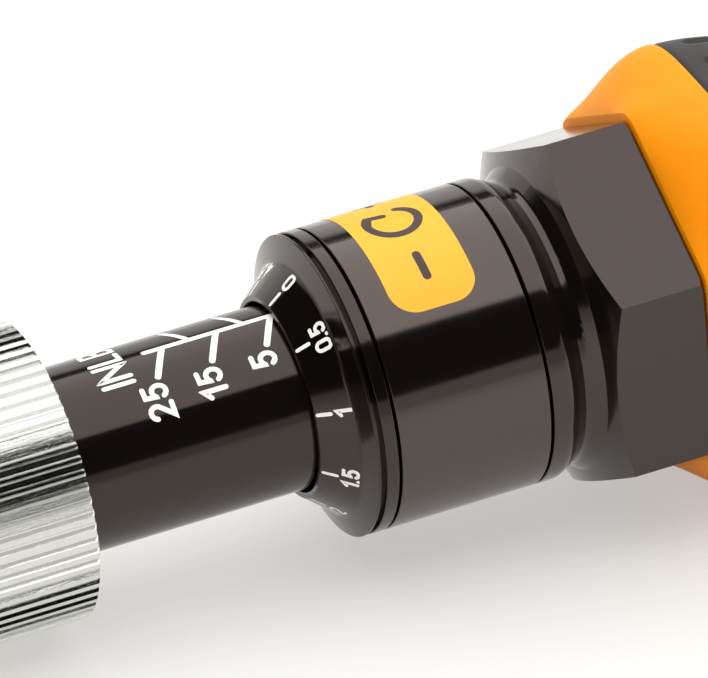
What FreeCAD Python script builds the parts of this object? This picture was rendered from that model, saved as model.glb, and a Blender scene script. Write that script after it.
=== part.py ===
import FreeCAD, Part
import math
import os

# Torque screwdriver with a micrometer scale: a fluted handle turns on a threaded barrel and
# loads a long spring, which presses a ball clutch against the bit spindle.
# Frame: +X runs along the axis from the bit socket's mouth to the handle's end cap, +Z is the
# side that carries the index line, and the axis lies at Y = Z = 0.  All sizes are millimetres.

Vector = FreeCAD.Vector
AXIS = Vector(1, 0, 0)

# ---- driving dimensions -------------------------------------------------------------------
# general
running_gap = 0.05            # radial clearance of a turning or sliding fit
locating_gap = 0.02           # radial clearance of a fit that does not move
face_gap = 0.1                # axial clearance of a turning face
edge_break = 0.15             # rounding on a turned edge
scale_lead = 2.8              # axial travel for one turn of the handle
scale_turns = 4               # turns from the lowest to the highest setting

# bit spindle
nose_radius = 5.6
nose_chamfer = 0.6
bit_flats = 6.4               # across the flats of the bit socket
bit_depth = 11.0
magnet_radius = 2.9
magnet_length = 2.5
clip_station = 3.8            # mouth to the middle of the bit clip
clip_wire = 0.7
spindle_flange_radius = 10.8
spindle_flange_length = 3.0

# grip ring and its cap
ring_front = 17.6
ring_length = 18.4
ring_shell = 2.8              # housing bore to the top of the knurl
ring_chamfer_length = 0.5
ring_chamfer_depth = 0.6
knurl_count = 70
knurl_depth = 0.42
knurl_land = 0.44             # share of the pitch that stays at full radius
knurl_floor = 0.16            # share of the pitch at full depth
cap_length = 4.2
cap_proud = 0.4
bush_wall = 1.8
spanner_hole_radius = 0.8
washer_thickness = 0.9

# clutch
clutch_circle = 8.0           # radius of the ring of balls
ball_count = 6
pocket_count = 12
ball_radius = 2.0
pocket_depth = 1.2            # how deep a ball sits in the spindle's flange
ball_in_plate = 1.3           # how deep a ball sits in the plate
plate_radius = 11.3
plate_thickness = 3.0
clutch_lift = 1.25            # axial travel of the plate when the clutch slips
lift_room = 0.25
guide_pin_count = 3
guide_pin_radius = 1.0
guide_pin_circle = 9.4
guide_pin_clearance = 0.6     # pin end to the front face of the plate

# barrel
barrel_radius = 9.0
barrel_bore = 6.7
barrel_in_hexagon = 2.3       # how far the barrel reaches into the hexagon
flange_thickness = 1.9
flange_edge = 0.2             # metal outside the screw heads
flange_screw_radius = 0.8
flange_screw_head = 1.4
flange_screw_length = 3.6
flange_screw_offset = 1.2     # screw axis outside the barrel's surface
flange_screw_key = 1.0
flange_screw_key_depth = 0.5
flute_count = 24
flute_radius = 0.6
flute_depth = 0.55
stop_ring_width = 1.0
stop_ring_wall = 1.45
stop_ring_depth = 0.5         # groove depth in the barrel
stop_ring_mouth = 60.0        # opening of the ring, in degrees

# spring, its seat and the calibration screw
spring_wire = 1.9
spring_radius = 5.3           # mean radius of the coils
spring_turns = 12
spring_length = 46.0          # at the lowest setting
seat_thickness = 4.0
spigot_radius = 4.0
spigot_length = 3.0
thrust_ball_radius = 2.5
thrust_recess = 1.2           # how deep the thrust ball sits in the seat and in the screw
screw_radius = 4.0
screw_key_flats = 4.0
screw_key_depth = 5.0
screw_proud = 1.2             # beyond its nut
nut_flats = 11.0
nut_height = 3.8

# scale ring
visible_barrel = 24.1         # grip ring to scale ring at the lowest setting
scale_bore_gap = 0.3
scale_lip = 0.57              # width of the small end's face
scale_cone_length = 3.05
scale_cone_slope = 39.7       # degrees from the axis
scale_flare_length = 0.8
scale_rim_length = 0.25
scale_groove_width = 0.55
scale_groove_depth = 0.8
scale_ring_length = 5.95

# adjuster body, lock sleeve and lock pin
tube_wall = 3.35              # inner tube that carries the scale ring and the sleeve
tube_overlap = 1.5            # length of the tube inside the scale ring
sleeve_wall = 2.35
sleeve_gap = 0.3
sleeve_length = 15.25
band_length = 1.85            # rear band up to its rounding
band_round_length = 1.85
neck_depth = 1.0
neck_length = 0.6
neck_sweep = 1.1
hex_face_step = 0.1           # where the chamfer starts, outside the thimble's radius
hex_flats = 32.4
hex_chamfer_slope = 24.0      # degrees from the end face
hex_length = 10.1
hex_rear_chamfer = 0.3
cavity_gap = 0.25             # outside the stop ring
cavity_spare = 1.5            # room behind the barrel at the highest setting
shank_wall = 2.3              # part of the adjuster inside the handle
shank_thread_length = 14.2
lock_offset = 8.65            # lock pin behind the sleeve's front
lock_travel = 0.6
lock_angle = 30.0             # turn of the sleeve from free to locked
lock_pin_radius = 1.5
lock_pin_head = 1.7
lock_stem_radius = 0.75
lock_tip_radius = 0.45
lock_tip_length = 0.6
lock_disc_count = 4
lock_disc_thickness = 0.14
lock_tip_gap = 0.15           # pin's tip outside the barrel when free
lock_pin_rise = 0.9           # pin's crown outside the inner tube when free
pocket_side_room = 0.3
seal_section = 1.1
seal_offset = 2.1             # seal in front of the sleeve's rear

# handle
handle_gap = 0.2              # between the hexagon and the handle's front face
handle_length = 99.4          # front face to rear face, without the end cap
nose_flats = 34.0             # across the flats of the handle's six-sided front face
nose_length = 7.2             # coloured nose in front of the grip
guard_radius = 22.0           # largest radius of the handle, at the lobes
lobe_depth = 1.1              # lobes to hollows
lobe_count = 6
waist_station = 30.0          # from the front face
waist_radius = 17.3
palm_station = 72.0
palm_radius = 20.9
tail_radius = 17.6
grip_thickness = 3.0          # at the lobes
access_radius = 7.5           # bore that reaches the calibration screw
handle_pin_radius = 1.5
handle_pin_offset = 7.7       # behind the adjuster's cavity
handle_pin_inner_gap = 2.5    # pin's inner end outside the calibration screw
handle_pin_sink = 1.0         # pin end below the core's surface
end_cap_length = 8.0
end_cap_plug = 7.0
end_cap_wall = 2.0

# ---- derived radii and stations --------------------------------------------------------------
tube_radius = barrel_radius + running_gap + tube_wall
thimble_radius = tube_radius + running_gap + sleeve_wall
flange_screw_circle = barrel_radius + flange_screw_offset
ring_bore = flange_screw_circle + flange_screw_head + flange_edge
ring_radius = ring_bore + ring_shell
cavity_radius = barrel_radius - stop_ring_depth + stop_ring_wall + cavity_gap
shank_radius = cavity_radius + shank_wall
lock_pin_lift = barrel_radius + lock_tip_gap
lock_pin_top = tube_radius + lock_pin_rise

ring_rear = ring_front + ring_length
cap_front = ring_front - cap_proud
cap_rear = cap_front + cap_length
spindle_flange_front = cap_rear + washer_thickness + 2 * face_gap
spindle_flange_rear = spindle_flange_front + spindle_flange_length
ball_station = spindle_flange_rear + ball_radius - pocket_depth
plate_front = ball_station + ball_radius - ball_in_plate
plate_rear = plate_front + plate_thickness
flange_front = plate_rear + clutch_lift + lift_room
flange_rear = flange_front + flange_thickness
scale_travel = scale_lead * scale_turns

seat_front = plate_rear + spring_length
seat_rear = seat_front + seat_thickness
thrust_ball_station = seat_rear + thrust_ball_radius - thrust_recess
screw_front = thrust_ball_station + thrust_ball_radius - thrust_recess

scale_front = ring_rear + visible_barrel
scale_rear = scale_front + scale_ring_length
tube_front = scale_rear - tube_overlap
sleeve_front = scale_rear + sleeve_gap
sleeve_rear = sleeve_front + sleeve_length
band_front = sleeve_rear + sleeve_gap
neck_front = band_front + band_length + band_round_length
hex_front = neck_front + neck_length + neck_sweep
hex_rear = hex_front + hex_length
barrel_rear = hex_front + barrel_in_hexagon
lock_station = sleeve_front + lock_offset
seal_station = sleeve_rear - seal_offset
stop_ring_front = barrel_rear - 2.3 * stop_ring_width
cavity_front = stop_ring_front - 2 * face_gap
cavity_rear = barrel_rear + scale_travel + cavity_spare
shank_rear = cavity_rear + shank_thread_length
handle_pin_station = cavity_rear + handle_pin_offset

handle_front = hex_rear + handle_gap
grip_front = handle_front + nose_length
handle_rear = handle_front + handle_length
nut_rear = shank_rear + nut_height
screw_rear = nut_rear + screw_proud
hex_corner_radius = hex_flats / 2 / math.cos(math.radians(30))


# ---- helpers --------------------------------------------------------------------------------
def around(shape, degrees):
    """A copy of the shape turned about the tool's axis."""
    turned = shape.copy()
    turned.rotate(Vector(0, 0, 0), AXIS, degrees)
    return turned


def cylinder(front, rear, radius):
    """A cylinder on the tool's axis."""
    return Part.makeCylinder(radius, rear - front, Vector(front, 0, 0), AXIS)


def tube(front, rear, bore, radius):
    """A plain tube on the tool's axis."""
    return cylinder(front, rear, radius).cut(cylinder(front - 1, rear + 1, bore))


def rounded_edges(corners):
    """Edges of a closed outline of (x, radius) or (x, radius, rounding) corners."""
    points = [Vector(corner[0], 0, corner[1]) for corner in corners]
    ends = []
    edges = []
    for index, corner in enumerate(corners):
        point = points[index]
        following = (index + 1) % len(points)
        before = points[index - 1] - point
        after = points[following] - point
        if len(corner) < 3:
            ends.append((point, point))
            continue
        half = before.getAngle(after) / 2
        room_before = before.Length * (0.49 if len(corners[index - 1]) == 3 else 0.98)
        room_after = after.Length * (0.49 if len(corners[following]) == 3 else 0.98)
        reach = min(corner[2] / math.tan(half), room_before, room_after)
        radius = reach * math.tan(half)
        before.normalize()
        after.normalize()
        inward = before + after
        inward.normalize()
        start = point + before * reach
        end = point + after * reach
        middle = point + inward * (radius / math.sin(half) - radius)
        edges.append(Part.Arc(start, middle, end).toShape())
        ends.append((start, end))
    for index in range(len(points)):
        start = ends[index - 1][1]
        end = ends[index][0]
        if start.distanceToPoint(end) > 1e-6:
            edges.append(Part.LineSegment(start, end).toShape())
    return edges


def turned(corners):
    """A solid turned on the tool's axis from an outline of (x, radius[, rounding]) corners."""
    outline = Part.Wire(Part.__sortEdges__(rounded_edges(corners)))
    return Part.Face(outline).revolve(Vector(0, 0, 0), AXIS, 360)


def hexagon(front, rear, flats, first_corner=0.0):
    """A six-sided prism on the tool's axis; first_corner is an angle from +Y towards +Z."""
    corner_radius = flats / 2 / math.cos(math.radians(30))
    points = []
    for index in range(7):
        angle = math.radians(first_corner + 60 * index)
        points.append(Vector(front, corner_radius * math.cos(angle), corner_radius * math.sin(angle)))
    return Part.Face(Part.makePolygon(points)).extrude(Vector(rear - front, 0, 0))


def pattern(shape, count, first=0.0):
    """Copies of a shape, equally spaced about the tool's axis."""
    return [around(shape, first + index * 360.0 / count) for index in range(count)]


# ---- bit spindle ------------------------------------------------------------------------------
def make_spindle():
    """Bit holder and driven clutch disc in one turned piece."""
    body = turned([
        (0, 0), (0, nose_radius, nose_chamfer), (spindle_flange_front, nose_radius),
        (spindle_flange_front, spindle_flange_radius, edge_break),
        (spindle_flange_rear, spindle_flange_radius, edge_break), (spindle_flange_rear, 0)])
    socket = hexagon(-1, bit_depth, bit_flats)
    mouth_radius = bit_flats / 2 / math.cos(math.radians(30)) + nose_chamfer / 2
    mouth = Part.makeCone(mouth_radius, mouth_radius - nose_chamfer, nose_chamfer, Vector(0, 0, 0), AXIS)
    magnet_seat = cylinder(bit_depth - 1, bit_depth + magnet_length, magnet_radius + locating_gap)
    clip_groove = tube(clip_station - clip_wire, clip_station + clip_wire, clip_radius() - clip_wire,
                       clip_radius() + 0.7 * clip_wire)
    body = body.cut(socket).cut(mouth).cut(magnet_seat).cut(clip_groove)
    pocket = Part.makeSphere(ball_radius + locating_gap, Vector(ball_station, clutch_circle, 0))
    return body.cut(Part.makeCompound(pattern(pocket, pocket_count)))


def clip_radius():
    """Mean radius of the bit clip: its wire clears the socket's flats."""
    return bit_flats / 2 + 0.1 + clip_wire / 2


def make_bit_clip():
    """Open wire ring that grips the bit's corners."""
    centre = Vector(clip_station, clip_radius(), 0)
    section = Part.Face(Part.Wire(Part.makeCircle(clip_wire / 2, centre, Vector(0, 0, 1))))
    return section.revolve(Vector(0, 0, 0), AXIS, 300)


def make_bit_magnet():
    """Disc magnet at the bottom of the bit socket."""
    return turned([
        (bit_depth, 0), (bit_depth, magnet_radius, edge_break),
        (bit_depth + magnet_length, magnet_radius, edge_break), (bit_depth + magnet_length, 0)])


# ---- grip ring and clutch ---------------------------------------------------------------------
def knurl_outline():
    """Cross-section of the straight knurl."""
    pitch = 2 * math.pi / knurl_count
    floor_radius = ring_radius - knurl_depth
    points = []
    for index in range(knurl_count):
        centre = index * pitch
        for share, radius in ((-knurl_land / 2, ring_radius), (knurl_land / 2, ring_radius),
                              (0.5 - knurl_floor / 2, floor_radius), (0.5 + knurl_floor / 2, floor_radius)):
            angle = centre + share * pitch
            points.append(Vector(ring_front, radius * math.cos(angle), radius * math.sin(angle)))
    points.append(points[0])
    return Part.Face(Part.makePolygon(points))


def make_grip_ring():
    """Knurled ring that houses the clutch and carries the barrel."""
    knurled = knurl_outline().extrude(Vector(ring_length, 0, 0))
    edge_radius = ring_radius - ring_chamfer_depth
    envelope = turned([
        (ring_front, barrel_radius + locating_gap), (ring_front, edge_radius),
        (ring_front + ring_chamfer_length, ring_radius + knurl_depth),
        (ring_rear - ring_chamfer_length, ring_radius + knurl_depth),
        (ring_rear, edge_radius), (ring_rear, barrel_radius + locating_gap)])
    holes = [cylinder(ring_front - 1, flange_rear, ring_bore)]
    screw_hole = Part.makeCylinder(flange_screw_radius, flange_screw_length,
                                   Vector(flange_front, flange_screw_circle, 0), AXIS)
    holes += pattern(screw_hole, guide_pin_count, 90)
    return knurled.common(envelope).cut(Part.makeCompound(holes))


def make_front_cap():
    """Threaded cap that closes the clutch housing and holds the front bush."""
    bush_radius = nose_radius + running_gap + bush_wall
    cap = turned([
        (cap_front, bush_radius, edge_break), (cap_front, ring_bore - 2 * edge_break, 2 * edge_break),
        (ring_front, ring_bore - locating_gap), (cap_rear, ring_bore - locating_gap),
        (cap_rear, bush_radius)])
    hole = Part.makeCylinder(spanner_hole_radius, cap_length / 2,
                             Vector(cap_front - 0.1, (bush_radius + ring_bore) / 2, 0), AXIS)
    return cap.cut(Part.makeCompound(pattern(hole, 2)))


def make_front_bush():
    """Plain bearing for the spindle's nose."""
    bore = nose_radius + running_gap
    outside = bore + bush_wall
    return turned([
        (cap_front, bore, edge_break), (cap_front, outside), (cap_rear, outside),
        (cap_rear, bore)])


def make_thrust_washer():
    """Hardened washer between the cap and the spindle's flange."""
    front = cap_rear + face_gap
    return turned([
        (front, nose_radius + 0.3), (front, spindle_flange_radius - 0.4, edge_break),
        (front + washer_thickness, spindle_flange_radius - 0.4, edge_break),
        (front + washer_thickness, nose_radius + 0.3)])


def make_clutch_balls():
    """Six hardened balls, carried by the plate."""
    ball = Part.makeSphere(ball_radius, Vector(ball_station, clutch_circle, 0))
    return Part.makeCompound(pattern(ball, ball_count))


def make_clutch_plate():
    """Driving plate: it slides on the guide pins and holds the balls."""
    plate = turned([
        (plate_front, 0), (plate_front, plate_radius, edge_break), (plate_rear, plate_radius, edge_break),
        (plate_rear, spigot_radius), (plate_rear + spigot_length, spigot_radius, 2 * edge_break),
        (plate_rear + spigot_length, 0)])
    pocket = Part.makeSphere(ball_radius + locating_gap, Vector(ball_station, clutch_circle, 0))
    guide_hole = Part.makeCylinder(guide_pin_radius + running_gap, plate_thickness + 2,
                                   Vector(plate_front - 1, guide_pin_circle, 0), AXIS)
    cuts = pattern(pocket, ball_count)
    cuts += pattern(guide_hole, guide_pin_count, 30)
    return plate.cut(Part.makeCompound(cuts))


def make_guide_pins():
    """Pins in the barrel's flange that keep the plate from turning."""
    front = plate_front + guide_pin_clearance
    pin = Part.makeCylinder(guide_pin_radius, flange_rear - front,
                            Vector(front, guide_pin_circle, 0), AXIS)
    return Part.makeCompound(pattern(pin, guide_pin_count, 30))


def make_flange_screws():
    """Countersunk screws that hold the barrel's flange to the grip ring."""
    head = Part.makeCone(flange_screw_head, flange_screw_radius, flange_screw_head - flange_screw_radius,
                         Vector(flange_front, flange_screw_circle, 0), AXIS)
    shank = Part.makeCylinder(flange_screw_radius, flange_screw_length,
                              Vector(flange_front, flange_screw_circle, 0), AXIS)
    key = hexagon(flange_front - 1, flange_front + flange_screw_key_depth, flange_screw_key)
    key.translate(Vector(0, flange_screw_circle, 0))
    return Part.makeCompound(pattern(head.fuse(shank).cut(key), guide_pin_count, 90))


# ---- barrel -----------------------------------------------------------------------------------
def make_barrel():
    """Graduated tube with a flange in front and lock flutes under the adjuster."""
    body = turned([
        (flange_front, barrel_bore), (flange_front, ring_bore - locating_gap, edge_break),
        (flange_rear, ring_bore - locating_gap), (flange_rear, barrel_radius),
        (barrel_rear, barrel_radius, edge_break), (barrel_rear, barrel_bore)])
    flute_front = lock_station - scale_travel - lock_pin_radius
    flute_rear = lock_station + lock_pin_radius
    flute_circle = barrel_radius + flute_radius - flute_depth
    flute = Part.makeCylinder(flute_radius, flute_rear - flute_front,
                              Vector(flute_front, flute_circle, 0), AXIS)
    guide_hole = Part.makeCylinder(guide_pin_radius, flange_thickness + 2,
                                   Vector(flange_front - 1, guide_pin_circle, 0), AXIS)
    screw_hole = Part.makeCylinder(flange_screw_radius, flange_thickness + 2,
                                   Vector(flange_front - 1, flange_screw_circle, 0), AXIS)
    sink = Part.makeCone(flange_screw_head, flange_screw_radius, flange_screw_head - flange_screw_radius,
                         Vector(flange_front, flange_screw_circle, 0), AXIS)
    circlip_groove = tube(stop_ring_front - face_gap / 2, stop_ring_front + stop_ring_width + face_gap / 2,
                          barrel_radius - stop_ring_depth, barrel_radius + 1)
    front_cuts = pattern(guide_hole, guide_pin_count, 30)
    front_cuts += pattern(screw_hole, guide_pin_count, 90)
    front_cuts += pattern(sink, guide_pin_count, 90)
    flange = body.common(cylinder(flange_front - 1, flange_rear, ring_radius))
    stem = body.common(cylinder(flange_rear, barrel_rear + 1, ring_radius))
    flange = flange.cut(Part.makeCompound(front_cuts))
    stem = stem.cut(Part.makeCompound(pattern(flute, flute_count) + [circlip_groove]))
    return flange.fuse(stem).removeSplitter()


def make_stop_ring():
    """Circlip on the barrel that keeps the adjuster from unscrewing."""
    inner = barrel_radius - stop_ring_depth
    outline = Part.makePolygon([
        Vector(stop_ring_front, inner, 0), Vector(stop_ring_front, inner + stop_ring_wall, 0),
        Vector(stop_ring_front + stop_ring_width, inner + stop_ring_wall, 0),
        Vector(stop_ring_front + stop_ring_width, inner, 0), Vector(stop_ring_front, inner, 0)])
    ring = Part.Face(outline).revolve(Vector(0, 0, 0), AXIS, 360 - stop_ring_mouth)
    return around(ring, -90 + stop_ring_mouth / 2)


# ---- spring stack -----------------------------------------------------------------------------
def make_torque_spring():
    """Main spring, an open coil with ground ends; its length sets the clutch's slipping torque."""
    path = Part.makeHelix(spring_length / spring_turns, spring_length, spring_radius)
    section = Part.Wire(Part.makeCircle(spring_wire / 2, Vector(spring_radius, 0, 0), Vector(0, 1, 0)))
    swept = Part.Wire(path).makePipeShell([section], True, True)
    wire = Part.Solid(swept) if swept.ShapeType == "Shell" else swept
    wire.rotate(Vector(0, 0, 0), Vector(0, 1, 0), 90)
    wire.translate(Vector(plate_rear, 0, 0))
    ground_front = plate_rear + locating_gap
    ground_rear = plate_rear + spring_length - locating_gap
    return wire.common(cylinder(ground_front, ground_rear, spring_radius + spring_wire))


def make_spring_seat():
    """Sliding seat between the spring and the thrust ball."""
    radius = barrel_bore - running_gap
    seat = turned([
        (seat_front - spigot_length, 0), (seat_front - spigot_length, spigot_radius, 2 * edge_break),
        (seat_front, spigot_radius), (seat_front, radius, edge_break), (seat_rear, radius, edge_break),
        (seat_rear, 0)])
    return seat.cut(Part.makeSphere(thrust_ball_radius + locating_gap, Vector(thrust_ball_station, 0, 0)))


def make_thrust_ball():
    """Ball that lets the screw turn without turning the spring."""
    return Part.makeSphere(thrust_ball_radius, Vector(thrust_ball_station, 0, 0))


def make_calibration_screw():
    """Screw in the adjuster that loads the spring and sets the zero."""
    screw = turned([
        (screw_front, 0), (screw_front, screw_radius, 2 * edge_break),
        (screw_rear, screw_radius, 2 * edge_break), (screw_rear, 0)])
    key = hexagon(screw_rear - screw_key_depth, screw_rear + 1, screw_key_flats)
    recess = Part.makeSphere(thrust_ball_radius + locating_gap, Vector(thrust_ball_station, 0, 0))
    return screw.cut(key).cut(recess)


def make_calibration_nut():
    """Lock nut for the calibration screw."""
    corner_radius = nut_flats / 2 / math.cos(math.radians(30))
    prism = hexagon(shank_rear, nut_rear, nut_flats)
    crown = turned([
        (shank_rear, screw_radius + locating_gap), (shank_rear, corner_radius),
        (nut_rear - 2 * edge_break, corner_radius), (nut_rear, nut_flats / 2),
        (nut_rear, screw_radius + locating_gap)])
    return prism.common(crown)


# ---- scale ring, sleeve and lock ----------------------------------------------------------------
def make_scale_ring():
    """Bevelled ring that carries the fine scale."""
    scale_bore = barrel_radius + scale_bore_gap
    small_radius = scale_bore + scale_lip
    cone_radius = small_radius + scale_cone_length * math.tan(math.radians(scale_cone_slope))
    cone_rear = scale_front + scale_cone_length
    flare_rear = cone_rear + scale_flare_length
    groove_front = flare_rear + scale_rim_length
    groove_rear = groove_front + scale_groove_width
    groove_radius = thimble_radius - scale_groove_depth
    return turned([
        (scale_front, scale_bore, edge_break), (scale_front, small_radius, edge_break),
        (cone_rear, cone_radius, 1.2), (flare_rear, thimble_radius, 0.1),
        (groove_front, thimble_radius, 0.08), (groove_front, groove_radius),
        (groove_rear, groove_radius), (groove_rear, thimble_radius, 0.12),
        (scale_rear, thimble_radius, 0.12), (scale_rear, tube_radius + locating_gap),
        (tube_front, tube_radius + locating_gap), (tube_front, scale_bore)])


def ramp_sector():
    """Space in the sleeve's wall whose depth falls steadily along lock_angle, from -Z."""
    free_radius = lock_pin_top + running_gap
    side = math.degrees(lock_pin_radius / tube_radius) + 3.0
    width = 2 * (lock_pin_radius + pocket_side_room)
    front = lock_station - width / 2
    start = -90 - side
    finish = -90 + lock_angle + side
    inner = tube_radius - 1

    def place(angle, radius):
        turn = math.radians(angle)
        return Vector(front, radius * math.cos(turn), radius * math.sin(turn))

    spiral_points = []
    for step in range(9):
        angle = -90 + (lock_angle + side) * step / 8
        spiral_points.append(place(angle, free_radius - lock_travel * (angle + 90) / lock_angle))
    spiral = Part.BSplineCurve()
    spiral.interpolate(spiral_points)
    landing = Part.Arc(place(start, free_radius), place(-90 - side / 2, free_radius),
                       place(-90, free_radius))
    floor = Part.Arc(place(finish, inner), place((start + finish) / 2, inner), place(start, inner))
    edges = [
        landing.toShape(), spiral.toShape(),
        Part.LineSegment(spiral_points[-1], place(finish, inner)).toShape(),
        floor.toShape(), Part.LineSegment(place(start, inner), place(start, free_radius)).toShape()]
    return Part.Face(Part.Wire(edges)).extrude(Vector(width, 0, 0))


def make_lock_sleeve():
    """Smooth sleeve: turning it drives the lock pin into a flute of the barrel."""
    bore = tube_radius + running_gap
    sleeve = turned([
        (sleeve_front, bore, 0.12), (sleeve_front, thimble_radius, 0.12),
        (sleeve_rear, thimble_radius, 0.12), (sleeve_rear, bore, 0.12)])
    return sleeve.cut(ramp_sector())


def lock_spring_floor():
    """Radius at which the lock pin's spring stands in the adjuster's wall."""
    return lock_pin_lift + lock_tip_length + 0.2


def below_axis(shape):
    """Turn a shape made along +X so that it points down from the axis at the lock pin."""
    placed = shape.copy()
    placed.rotate(Vector(0, 0, 0), Vector(0, 1, 0), 90)
    placed.translate(Vector(lock_station, 0, 0))
    return placed


def make_lock_pin():
    """Radial pin below the axis: a narrow tip, a stem and a domed head."""
    head_bottom = lock_pin_top - lock_pin_head
    tip_end = lock_pin_lift + lock_tip_length
    return below_axis(turned([
        (lock_pin_lift, 0), (lock_pin_lift, lock_tip_radius, 0.25), (tip_end, lock_tip_radius),
        (tip_end, lock_stem_radius), (head_bottom, lock_stem_radius), (head_bottom, lock_pin_radius),
        (lock_pin_top, lock_pin_radius, 1.4), (lock_pin_top, 0)]))


def make_lock_spring():
    """Stack of disc springs around the pin's stem; it lifts the pin out of the flute."""
    pitch = (lock_pin_top - lock_pin_head - lock_spring_floor()) / lock_disc_count
    outer = lock_pin_radius - running_gap
    inner = lock_stem_radius + running_gap
    discs = []
    for index in range(lock_disc_count):
        low = lock_spring_floor() + index * pitch
        first, last = (inner, outer) if index % 2 else (outer, inner)
        discs.append(turned([(low, first), (low + lock_disc_thickness, first),
                             (low + pitch, last), (low + pitch - lock_disc_thickness, last)]))
    return below_axis(Part.makeCompound(discs))


def make_sleeve_seal():
    """Rubber ring that gives the sleeve its friction."""
    return Part.makeTorus(tube_radius - seal_section / 2, seal_section / 2, Vector(seal_station, 0, 0), AXIS)


# ---- adjuster body ------------------------------------------------------------------------------
def make_adjuster_body():
    """Threaded body: inner tube, rear band, hexagon and the shank inside the handle."""
    thread_bore = barrel_radius + running_gap
    neck_radius = thimble_radius - neck_depth
    hex_front_radius = thimble_radius + hex_face_step
    slope = math.tan(math.radians(90 - hex_chamfer_slope))
    corner_station = hex_front + (hex_corner_radius - hex_front_radius) / slope
    outline = [
        (tube_front, thread_bore, edge_break), (tube_front, tube_radius, edge_break),
        (band_front, tube_radius), (band_front, thimble_radius, 0.12),
        (band_front + band_length, thimble_radius, 1.5),
        (neck_front, neck_radius, 0.1), (neck_front + neck_length, neck_radius, 0.9),
        (hex_front, hex_front_radius, 0.1), (corner_station, hex_corner_radius),
        (hex_rear - hex_rear_chamfer, hex_corner_radius),
        (hex_rear, hex_corner_radius - 2 * hex_rear_chamfer),
        (hex_rear, shank_radius), (shank_rear, shank_radius, 2 * edge_break),
        (shank_rear, screw_radius + locating_gap), (cavity_rear, screw_radius + locating_gap),
        (cavity_rear, cavity_radius), (cavity_front, cavity_radius), (cavity_front, thread_bore)]
    body = turned(outline)
    front_part = body.common(cylinder(tube_front - 1, hex_front, hex_corner_radius + 1))
    hex_part = body.common(hexagon(hex_front, hex_rear, hex_flats, 90))
    shank = body.common(cylinder(hex_rear, shank_rear + 1, hex_corner_radius + 1))
    pin_floor = lock_spring_floor()
    stem_hole = Part.makeCylinder(lock_stem_radius + running_gap, tube_radius,
                                  Vector(lock_station, 0, -barrel_radius + 1), Vector(0, 0, -1))
    head_hole = Part.makeCylinder(lock_pin_radius + running_gap, tube_radius,
                                  Vector(lock_station, 0, -pin_floor), Vector(0, 0, -1))
    seal_groove = tube(seal_station - seal_section / 2 - 0.1, seal_station + seal_section / 2 + 0.1,
                       tube_radius - seal_section - 0.05, tube_radius + 1)
    front_part = front_part.cut(stem_hole).cut(head_hole).cut(seal_groove)
    shank = shank.cut(handle_pin_pair())
    return front_part.fuse(hex_part).fuse(shank).removeSplitter()


# ---- handle -------------------------------------------------------------------------------------
def six_sided(flats, angle):
    """Radius of a hexagon with softened corners and corners at +Z and -Z."""
    sharpness = 30
    total = 0.0
    for side in range(6):
        lean = math.cos(angle - math.radians(60 * side))
        total += max(0.0, lean) ** sharpness
    return flats / 2 * total ** (-1.0 / sharpness)


def lobed(radius, angle, depth=lobe_depth):
    """Radius of a section with six soft lobes; hollows face +Z and -Z."""
    return radius - depth / 2 + depth / 2 * math.cos(lobe_count * angle)


def section_wire(station, radius_at, samples=48):
    """Closed smooth curve across the axis through radius_at(angle)."""
    points = []
    for index in range(samples):
        angle = 2 * math.pi * index / samples
        radius = radius_at(angle)
        points.append(Vector(station, radius * math.cos(angle), radius * math.sin(angle)))
    curve = Part.BSplineCurve()
    curve.interpolate(points, PeriodicFlag=True)
    return Part.Wire([curve.toShape()])


def make_nose_shape():
    """Handle nose: a hexagon in front that swells to the six-lobed guard."""
    wires = []
    for share in (0.0, 0.08, 0.2, 0.4, 0.65, 0.88, 1.0):
        rise = math.sin(share * math.pi / 2) ** 0.75

        def radius_at(angle):
            return (1 - rise) * six_sided(nose_flats, angle) + rise * lobed(guard_radius, angle)

        wires.append(section_wire(handle_front + share * nose_length, radius_at))
    return Part.makeLoft(wires, True, False)


def grip_radius(station):
    """Lobe radius of the grip, measured from the handle's front face."""
    shape = (
        (nose_length, guard_radius - 0.1), (waist_station, waist_radius),
        (palm_station, palm_radius), (handle_length, tail_radius))
    for start, end in zip(shape, shape[1:]):
        if station <= end[0]:
            share = (station - start[0]) / (end[0] - start[0])
            if end[0] == handle_length:
                return start[1] + (end[1] - start[1]) * share ** 2.2
            return start[1] + (end[1] - start[1]) * (1 - math.cos(math.pi * share)) / 2
    return tail_radius


def grip_lobes(station):
    """Depth of the hollows: full to the palm, fading out to a round tail."""
    fade = (station - palm_station) / (handle_length - palm_station)
    return lobe_depth * (1 - max(0.0, fade) ** 2)


def make_core_body():
    """Turned part of the core, under the grip."""
    corners = [(grip_front, access_radius)]
    steps = 10
    for step in range(steps + 1):
        station = nose_length + (handle_length - nose_length) * step / steps
        corners.append((handle_front + station, grip_radius(station) - grip_thickness, 2.0))
    corners[1] = corners[1][:2]
    corners[-1] = corners[-1][:2]
    corners.append((handle_rear, access_radius))
    return turned(corners)


def handle_pin_pair():
    """Two radial pins that key the handle to the adjuster's shank."""
    top = grip_radius(handle_pin_station - handle_front) - grip_thickness - handle_pin_sink
    inner = screw_radius + handle_pin_inner_gap
    pin = Part.makeCylinder(handle_pin_radius, top - inner, Vector(handle_pin_station, inner, 0),
                            Vector(0, 1, 0))
    return Part.makeCompound(pattern(pin, 2))


def make_handle_core(core_body):
    """Moulded core: the coloured nose and the body that the grip covers."""
    nose = make_nose_shape()
    shank_bore = cylinder(handle_front - 1, shank_rear, shank_radius + locating_gap)
    access = cylinder(handle_front - 1, handle_rear + 1, access_radius)
    core = nose.fuse(core_body)
    return core.cut(shank_bore).cut(access).cut(handle_pin_pair())


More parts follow.
